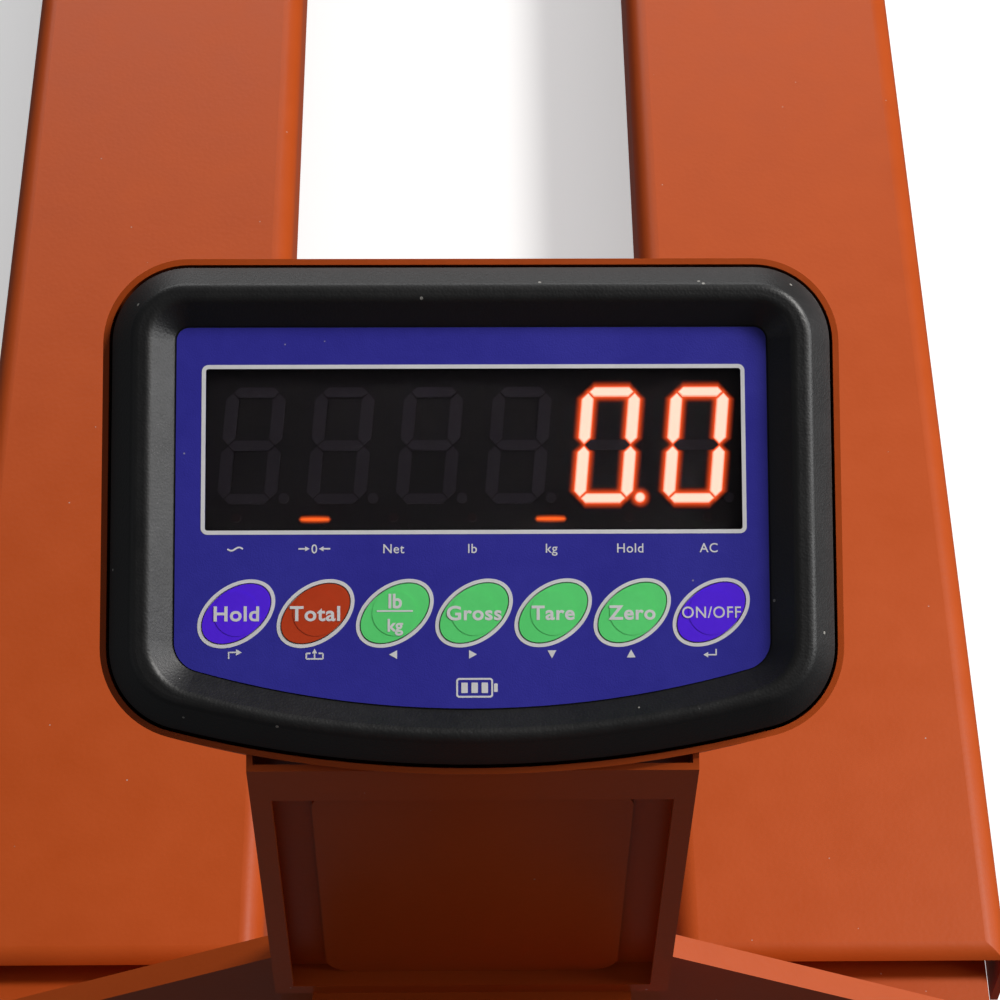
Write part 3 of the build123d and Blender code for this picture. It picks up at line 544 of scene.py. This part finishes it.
def stroke(points, width):
    """Outline of a straight or bent line of even width, as one closed ring."""
    left, right = [], []
    for i, point in enumerate(points):
        before = points[max(i - 1, 0)]
        after = points[min(i + 1, len(points) - 1)]
        direction = Vector((after[0] - before[0], after[1] - before[1])).normalized()
        normal = Vector((-direction.y, direction.x)) * width / 2
        if 0 < i < len(points) - 1:
            first = Vector((point[0] - before[0], point[1] - before[1])).normalized()
            normal /= max(abs(first.dot(direction)), 0.5)
        left.append((point[0] + normal.x, point[1] + normal.y))
        right.append((point[0] - normal.x, point[1] - normal.y))
    return left + right[::-1]


def arrow(tip, direction, head, tail, width):
    """Shapes of an arrow: a filled head at tip and a thin shaft behind it."""
    along = Vector(direction).normalized()
    across = Vector((-along.y, along.x))
    base = Vector(tip) - along * head
    corners = [Vector(tip), base + across * head * 0.55, base - across * head * 0.55]
    shapes = [([tuple(c) for c in corners], None)]
    if tail:
        end = base - along * tail
        shapes.append((stroke([tuple(end), tuple(base + along * 0.1)], width), None))
    return shapes


def lamp_labels():
    """Small words and signs under the window, one over each key."""
    meshes = []
    for x, words in zip(KEY_COLUMNS, LAMP_LABELS):
        if words == "~":
            wave = [(x + 0.42 * i, LABEL_V + 0.55 * math.sin(i * math.pi / 6)) for i in range(-6, 7)]
            meshes.append(slab([(stroke(wave, 0.55), None)], 0.0, PRINT_HEIGHT))
        elif "0" in words:
            meshes.append(text_mesh("0", (x, LABEL_V), 2.9, 0.03))
            for side in (-1, 1):
                tip = (x + side * 1.5, LABEL_V)
                meshes.append(slab(arrow(tip, (-side, 0), 1.5, 2.2, 0.5), 0.0, PRINT_HEIGHT))
        else:
            meshes.append(text_mesh(words, (x, LABEL_V), 3.0, 0.03, 1.0, 1.08))
    return join_meshes(meshes)


labels = lamp_labels()
labels.transform(FACE_MATRIX)
add_object("lamp_labels", labels, "frame", "white_print")

ICON_V = -46.3


def key_icons():
    """Second meanings under the keys: turn, send, left, right, down, up and enter."""
    x = KEY_COLUMNS
    shapes = arrow((x[0] + 2.4, ICON_V + 0.9), (1, 0), 1.9, 2.3, 0.45)
    shapes.append((stroke([(x[0] - 1.9, ICON_V - 1.2), (x[0] - 1.9, ICON_V + 1.1)], 0.45), None))
    shapes += arrow((x[1] + 0.2, ICON_V + 2.0), (0, 1), 1.5, 1.5, 0.45)
    tray = [(-1.1, 0.5), (-2.5, 0.5), (-2.5, -1.3), (2.9, -1.3), (2.9, 0.5), (1.5, 0.5)]
    for start, end in zip(tray, tray[1:]):
        line = [(x[1] + p, ICON_V + q) for p, q in (start, end)]
        shapes.append((stroke(line, 0.5), None))
    for index, direction in ((2, (-1, 0)), (3, (1, 0)), (4, (0, -1)), (5, (0, 1))):
        tip = (x[index] + direction[0] * 1.4, ICON_V + direction[1] * 1.4)
        shapes += arrow(tip, direction, 2.6, 0, 0)
    shapes += arrow((x[6] - 2.3, ICON_V - 0.4), (-1, 0), 1.6, 2.6, 0.45)
    shapes.append((stroke([(x[6] + 1.9, ICON_V - 0.6), (x[6] + 1.9, ICON_V + 1.5)], 0.45), None))
    return shapes


print_piece("key_icons", key_icons())

BATTERY_MARK = (0.6, -57.2)
battery_mark = [
    (rounded_box(BATTERY_MARK, (12.0, 6.4), 1.0), rounded_box(BATTERY_MARK, (10.8, 5.2), 0.5)),
    (rounded_box((BATTERY_MARK[0] + 6.9, BATTERY_MARK[1]), (1.2, 2.8), 0.3), None),
]
for i in range(3):
    cell_centre = (BATTERY_MARK[0] - 3.3 + 3.3 * i, BATTERY_MARK[1])
    battery_mark.append((rounded_box(cell_centre, (2.1, 3.4), 0.2), None))
print_piece("battery_mark", battery_mark)


# ---- legends on the keys ----
DOME_TOP = 0.42
LEGEND_HEIGHT = 0.06
KEY_WORDS = {
    "hold": ("Hold", 4.7, 0.16),
    "total": ("Total", 4.7, 0.16),
    "gross": ("Gross", 4.5, 0.16),
    "tare": ("Tare", 4.5, 0.16),
    "zero": ("Zero", 4.5, 0.16),
    "power": ("ON/OFF", 3.7, 0.04),
}
KEY_ORDER = ["hold", "total", "unit", "gross", "tare", "zero", "power"]


def on_key(words, v, cap_height, bold, stretch=1.0, spacing=1.0):
    """Lettering on top of a key at X = 0."""
    return text_mesh(words, (0, v), cap_height, bold, stretch, spacing, DOME_TOP, LEGEND_HEIGHT)


def key_legend(name):
    """A key's words; the unit key has two units with a line between them."""
    if name == "unit":
        upper = on_key("lb", KEY_V + 4.0, 4.6, 0.16)
        lower = on_key("kg", KEY_V - 3.9, 4.0, 0.14)
        bar = rounded_box((0, KEY_V + 0.7), (11.8, 0.55), 0.2)
        return join_meshes([upper, lower, slab([(bar, None)], DOME_TOP, DOME_TOP + LEGEND_HEIGHT)])
    words, cap_height, bold = KEY_WORDS[name]
    stretch = 0.96 if name == "power" else 1.08
    return on_key(words, KEY_V, cap_height, bold, stretch, 1.08)


for column, key_name in zip(KEY_COLUMNS, KEY_ORDER):
    legend = key_legend(key_name)
    legend.transform(Matrix.Translation((column + KEY_SHIFT, 0, 0)))
    legend.transform(FACE_MATRIX)
    key = f"key_{key_name}"
    add_object(f"legend_{key_name}", legend, key, "white_print")


# ---- glow behind the pane ----
SEGMENT_FACE = -3.3
HALO_W = SEGMENT_FACE - 0.35  # behind the lit faces
RIM_W = SEGMENT_FACE + 0.03   # in front of them
PATCH_STEP = 0.004            # keeps neighbouring patches apart


def grown_hull(points, grow):
    """Convex outline of the points, moved outwards by grow."""
    centre = sum((Vector(p) for p in points), Vector((0, 0))) / len(points)
    grown = []
    for index, point in enumerate(points):
        before = Vector(points[index - 1])
        after = Vector(points[(index + 1) % len(points)])
        along = (after - before).normalized()
        normal = Vector((along.y, -along.x))
        if normal.dot(Vector(point) - centre) < 0:
            normal = -normal
        grown.append(Vector(point) + normal * grow)
    return grown


def fading_patch(form, fade, points, grow, height, filled, rings=6):
    """A flat band whose fade attribute falls from 1 on the outline to 0 at grow away from it."""
    loops = []
    for step in range(rings + 1):
        share = step / rings
        loop = []
        for point in grown_hull(points, grow * share):
            vertex = form.verts.new((point[0], point[1], height))
            vertex[fade] = 1 - share
            loop.append(vertex)
        loops.append(loop)
    for inner, outer in zip(loops, loops[1:]):
        for i in range(len(inner)):
            j = (i + 1) % len(inner)
            form.faces.new((inner[i], inner[j], outer[j], outer[i]))
    if filled:
        form.faces.new(loops[0])


def halo_piece(name, outlines, grow, material, height=HALO_W, filled=True):
    """One piece of glow: a fading patch for each outline."""
    form = bmesh.new()
    fade = form.verts.layers.float.new("fade")
    for index, points in enumerate(outlines):
        fading_patch(form, fade, points, grow, height + PATCH_STEP * index, filled)
    form.normal_update()
    bmesh.ops.reverse_faces(form, faces=[face for face in form.faces if face.normal.z < 0])
    mesh = bpy.data.meshes.new(name)
    form.to_mesh(mesh)
    form.free()
    mesh.transform(FACE_MATRIX)
    return add_object(name, mesh, "frame", material)


def lit_outlines():
    """Outline of each lit segment, read from the segments' front faces."""
    mesh = NODES["lit_segments"].data
    form = bmesh.new()
    form.from_mesh(mesh)
    form.transform(FACE_MATRIX.inverted())
    bmesh.ops.remove_doubles(form, verts=form.verts, dist=0.001)
    front = max(vertex.co.z for vertex in form.verts)
    left = {f for f in form.faces if all(abs(v.co.z - front) < 0.01 for v in f.verts)}
    outlines = []
    while left:
        island, edge = set(), [left.pop()]
        while edge:
            face = edge.pop()
            island.add(face)
            near = {n for side in face.edges for n in side.link_faces if n in left}
            left -= near
            edge += near
        points = {(round(v.co.x, 3), round(v.co.y, 3)) for f in island for v in f.verts}
        centre = Vector((sum(p[0] for p in points), sum(p[1] for p in points))) / len(points)
        outlines.append(sorted(points, key=lambda p: math.atan2(p[1] - centre.y, p[0] - centre.x)))
    form.free()
    return sorted(outlines)


halo_piece("digit_glow", lit_outlines(), 2.4, "digit_halo")
# painted glow: an emissive red band on each lit segment's outline, fading inwards
halo_piece("segment_rims", lit_outlines(), -0.9, "segment_rim_glow", RIM_W, False)

LIT_LAMPS = (1, 4)
lamp_arcs = []
for index in LIT_LAMPS:
    lamp_arcs.append(ellipse_points((KEY_COLUMNS[index], -1.6), 4.4, 0.22, 0, 32))
halo_piece("lamp_glow", lamp_arcs, 1.5, "lamp_halo", RIM_W)


# ---- repeated hardware, made by Geometry Nodes ----
def geometry_group(name, inputs):
    """A node group that takes the object's own geometry and named inputs."""
    group = bpy.data.node_groups.new(name, "GeometryNodeTree")
    group.interface.new_socket(name="Geometry", in_out="INPUT", socket_type="NodeSocketGeometry")
    for label, kind, default in inputs:
        socket = group.interface.new_socket(name=label, in_out="INPUT", socket_type=kind)
        if default is not None:
            socket.default_value = default
    group.interface.new_socket(name="Geometry", in_out="OUTPUT", socket_type="NodeSocketGeometry")
    return group, group.nodes.new("NodeGroupInput"), group.nodes.new("NodeGroupOutput")


def close_group(group, start, end, geometry):
    """Make instances real, give them the material input, and connect the output."""
    real = group.nodes.new("GeometryNodeRealizeInstances")
    paint = group.nodes.new("GeometryNodeSetMaterial")
    group.links.new(geometry, real.inputs["Geometry"])
    group.links.new(real.outputs["Geometry"], paint.inputs["Geometry"])
    group.links.new(start.outputs["Material"], paint.inputs["Material"])
    group.links.new(paint.outputs["Geometry"], end.inputs["Geometry"])


def bolt_ring_group():
    """Hexagon heads spaced evenly round a ring."""
    group, start, end = geometry_group(
        "bolt_ring",
        [
            ("Count", "NodeSocketInt", 6),
            ("Ring Radius", "NodeSocketFloat", 0.044),
            ("Head Radius", "NodeSocketFloat", 0.0055),
            ("Head Height", "NodeSocketFloat", 0.004),
            ("Material", "NodeSocketMaterial", None),
        ],
    )
    ring = group.nodes.new("GeometryNodeMeshCircle")
    head = group.nodes.new("GeometryNodeMeshCylinder")
    head.inputs["Vertices"].default_value = 6
    place = group.nodes.new("GeometryNodeInstanceOnPoints")
    group.links.new(start.outputs["Count"], ring.inputs["Vertices"])
    group.links.new(start.outputs["Ring Radius"], ring.inputs["Radius"])
    group.links.new(start.outputs["Head Radius"], head.inputs["Radius"])
    group.links.new(start.outputs["Head Height"], head.inputs["Depth"])
    group.links.new(ring.outputs["Mesh"], place.inputs["Points"])
    group.links.new(head.outputs["Mesh"], place.inputs["Instance"])
    close_group(group, start, end, place.outputs["Instances"])
    return group


def weld_bead_group():
    """Overlapping ripples laid along the object's edges."""
    group, start, end = geometry_group(
        "weld_bead",
        [
            ("Ripple Step", "NodeSocketFloat", 0.0018),
            ("Bead Radius", "NodeSocketFloat", 0.0028),
            ("Ripple Length", "NodeSocketFloat", 0.6),
            ("Material", "NodeSocketMaterial", None),
        ],
    )
    path = group.nodes.new("GeometryNodeMeshToCurve")
    even = group.nodes.new("GeometryNodeCurveToPoints")
    even.mode = "LENGTH"
    ripple = group.nodes.new("GeometryNodeMeshIcoSphere")
    ripple.inputs["Subdivisions"].default_value = 2
    shape = group.nodes.new("ShaderNodeCombineXYZ")
    shape.inputs["X"].default_value = 1.0
    shape.inputs["Y"].default_value = 1.0
    place = group.nodes.new("GeometryNodeInstanceOnPoints")
    group.links.new(start.outputs["Geometry"], path.inputs["Mesh"])
    group.links.new(path.outputs["Curve"], even.inputs["Curve"])
    group.links.new(start.outputs["Ripple Step"], even.inputs["Length"])
    group.links.new(start.outputs["Bead Radius"], ripple.inputs["Radius"])
    group.links.new(start.outputs["Ripple Length"], shape.inputs["Z"])
    group.links.new(even.outputs["Points"], place.inputs["Points"])
    group.links.new(ripple.outputs["Mesh"], place.inputs["Instance"])
    group.links.new(even.outputs["Rotation"], place.inputs["Rotation"])
    group.links.new(shape.outputs["Vector"], place.inputs["Scale"])
    close_group(group, start, end, place.outputs["Instances"])
    return group


BOLT_RING = bolt_ring_group()
WELD_BEAD = weld_bead_group()


def grown_mesh(name, group, source, **values):
    """Run a node group on a mesh and return the result as a plain mesh."""
    holder = bpy.data.objects.new(name, source)
    bpy.context.scene.collection.objects.link(holder)
    grow = holder.modifiers.new(name, "NODES")
    grow.node_group = group
    for item in group.interface.items_tree:
        if item.in_out == "INPUT" and item.name in values:
            grow[item.identifier] = values[item.name]
    bpy.context.view_layer.update()
    mesh = bpy.data.meshes.new_from_object(holder.evaluated_get(bpy.context.evaluated_depsgraph_get()))
    holder.modifiers.remove(grow)
    bpy.data.objects.remove(holder)
    mesh.name = name
    return mesh


HUB_RECESS = 0.012
HEAD_HEIGHT = 0.004


def hub_bolts(side_name, side):
    """Six screws in the recess on the outer side of a steered wheel."""
    low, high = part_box(f"steer_hub_{side_name}")
    outer = high[0] if side > 0 else low[0]
    ring = grown_mesh(
        f"hub_bolts_{side_name}",
        BOLT_RING,
        bpy.data.meshes.new("seed"),
        **{"Head Height": HEAD_HEIGHT, "Material": MATERIALS["zinc_steel"]},
    )
    turn = Matrix.Rotation(math.pi / 2, 4, "Y")
    head_x = outer - side * (HUB_RECESS - HEAD_HEIGHT / 2)
    centre = Vector((head_x, (low[1] + high[1]) / 2, (low[2] + high[2]) / 2))
    ring.transform(Matrix.Translation(centre) @ turn)
    add_object(f"hub_bolts_{side_name}", ring, f"steer_wheel_{side_name}", "zinc_steel")


hub_bolts("left", -1)
hub_bolts("right", 1)


PLATE_THICKNESS = 0.012
WELD_RADIUS = 0.003
WELD_END = 0.004              # a run stops this far short of a plate's edge


def weld_piece(name, paths, radius):
    """Painted weld beads along straight runs, each given by its two ends in metres."""
    seed = bpy.data.meshes.new("seed")
    points = [point for path in paths for point in path]
    seed.from_pydata(points, [(2 * i, 2 * i + 1) for i in range(len(paths))], [])
    sizes = {"Bead Radius": radius, "Material": MATERIALS["orange_paint"]}
    bead = grown_mesh(name, WELD_BEAD, seed, **sizes)
    add_object(name, bead, "frame", "orange_paint")


def frame_welds():
    """Runs under the tower and across both fork roots, where plates meet."""
    tower_low, tower_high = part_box("frame_tower")
    channel_low, channel_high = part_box("fork_channel_left")
    back = tower_high[1] - PLATE_THICKNESS
    inner = tower_high[0] - WELD_END
    runs = [((-inner, back, tower_low[2]), (inner, back, tower_low[2]))]
    for side in (-1, 1):
        near, far = sorted((side * channel_low[0], side * channel_high[0]))
        front = tower_high[1]
        ends = (near + WELD_END, far - WELD_END)
        runs.append(tuple((x, front, channel_high[2]) for x in ends))
    return runs


weld_piece("frame_weld_beads", frame_welds(), WELD_RADIUS)


# ---- camera ----
LENS_RATIO = 2.745            # focal length over the width of the square frame
VIEW_YAW = math.radians(1.47)
VIEW_DOWN = math.radians(55.06)
VIEW_ROLL = math.radians(1.04)
CAMERA_FROM_FACE = Vector((-0.0041, -0.5117, 0.7401))


def view_camera():
    """The operator's view: above and behind the head, looking down along the forks."""
    forward = Vector(
        (
            math.sin(VIEW_YAW) * math.cos(VIEW_DOWN),
            math.cos(VIEW_YAW) * math.cos(VIEW_DOWN),
            -math.sin(VIEW_DOWN),
        )
    )
    right = Vector((math.cos(VIEW_YAW), -math.sin(VIEW_YAW), 0))
    up = right.cross(forward)
    turned_right = math.cos(VIEW_ROLL) * right + math.sin(VIEW_ROLL) * up
    turned_up = math.cos(VIEW_ROLL) * up - math.sin(VIEW_ROLL) * right
    data = bpy.data.cameras.new("view")
    data.sensor_width = 36.0
    data.lens = data.sensor_width * LENS_RATIO
    data.clip_start = 0.01
    data.clip_end = 100
    camera = bpy.data.objects.new("view", data)
    bpy.context.scene.collection.objects.link(camera)
    rotation = Matrix((turned_right, turned_up, -forward)).transposed().to_4x4()
    camera.matrix_world = Matrix.Translation(FACE_ORIGIN + CAMERA_FROM_FACE) @ rotation
    bpy.context.scene.camera = camera


view_camera()


# ---- light and floor ----
FLOOR_HALF = 14.0


def area_light(name, place, target, size, power, color=(1, 1, 1)):
    """A rectangular lamp that faces a target."""
    data = bpy.data.lights.new(name, "AREA")
    data.shape = "RECTANGLE"
    data.size, data.size_y = size
    data.energy = power
    data.color = color
    light = bpy.data.objects.new(name, data)
    light.location = place
    light.rotation_euler = (Vector(target) - Vector(place)).to_track_quat("-Z", "Y").to_euler()
    bpy.context.scene.collection.objects.link(light)


HEAD = tuple(FACE_ORIGIN)
area_light("key", (1.9, 0.5, 2.6), HEAD, (0.7, 0.7), 78, (1.0, 0.98, 0.95))
area_light("side", (2.6, -0.2, 1.35), HEAD, (1.6, 1.0), 34)
area_light("back", (-0.2, 2.6, 1.75), HEAD, (2.6, 0.9), 30)
area_light("fill", (-2.2, -1.4, 1.6), (0, -0.4, 0.3), (1.6, 1.6), 2, (0.95, 0.97, 1.0))

world = bpy.data.worlds.new("studio")
world.use_nodes = True
world.node_tree.nodes["Background"].inputs["Color"].default_value = (0.92, 0.95, 1.0, 1)
world.node_tree.nodes["Background"].inputs["Strength"].default_value = 0.10
bpy.context.scene.world = world


def studio_floor():
    """A pale floor that is seen but throws no light on the truck."""
    mesh = bpy.data.meshes.new("floor")
    half = FLOOR_HALF
    corners = [(-half, -half, 0), (half, -half, 0), (half, half, 0), (-half, half, 0)]
    mesh.from_pydata(corners, [], [(0, 1, 2, 3)])
    floor = bpy.data.objects.new("floor", mesh)
    bpy.context.scene.collection.objects.link(floor)
    floor.visible_diffuse = False
    floor.visible_glossy = False
    material = bpy.data.materials.new("pale_floor")
    material.use_nodes = True
    shader = material.node_tree.nodes["Principled BSDF"]
    shader.inputs["Base Color"].default_value = (0.75, 0.75, 0.75, 1)
    shader.inputs["Roughness"].default_value = 0.8
    shader.inputs["Specular IOR Level"].default_value = 0.0
    shader.inputs["Emission Color"].default_value = (1, 1, 1, 1)
    shader.inputs["Emission Strength"].default_value = 0.40
    mesh.materials.append(material)


studio_floor()

scene = bpy.context.scene
scene.view_settings.view_transform = "Standard"
scene.view_settings.look = "None"
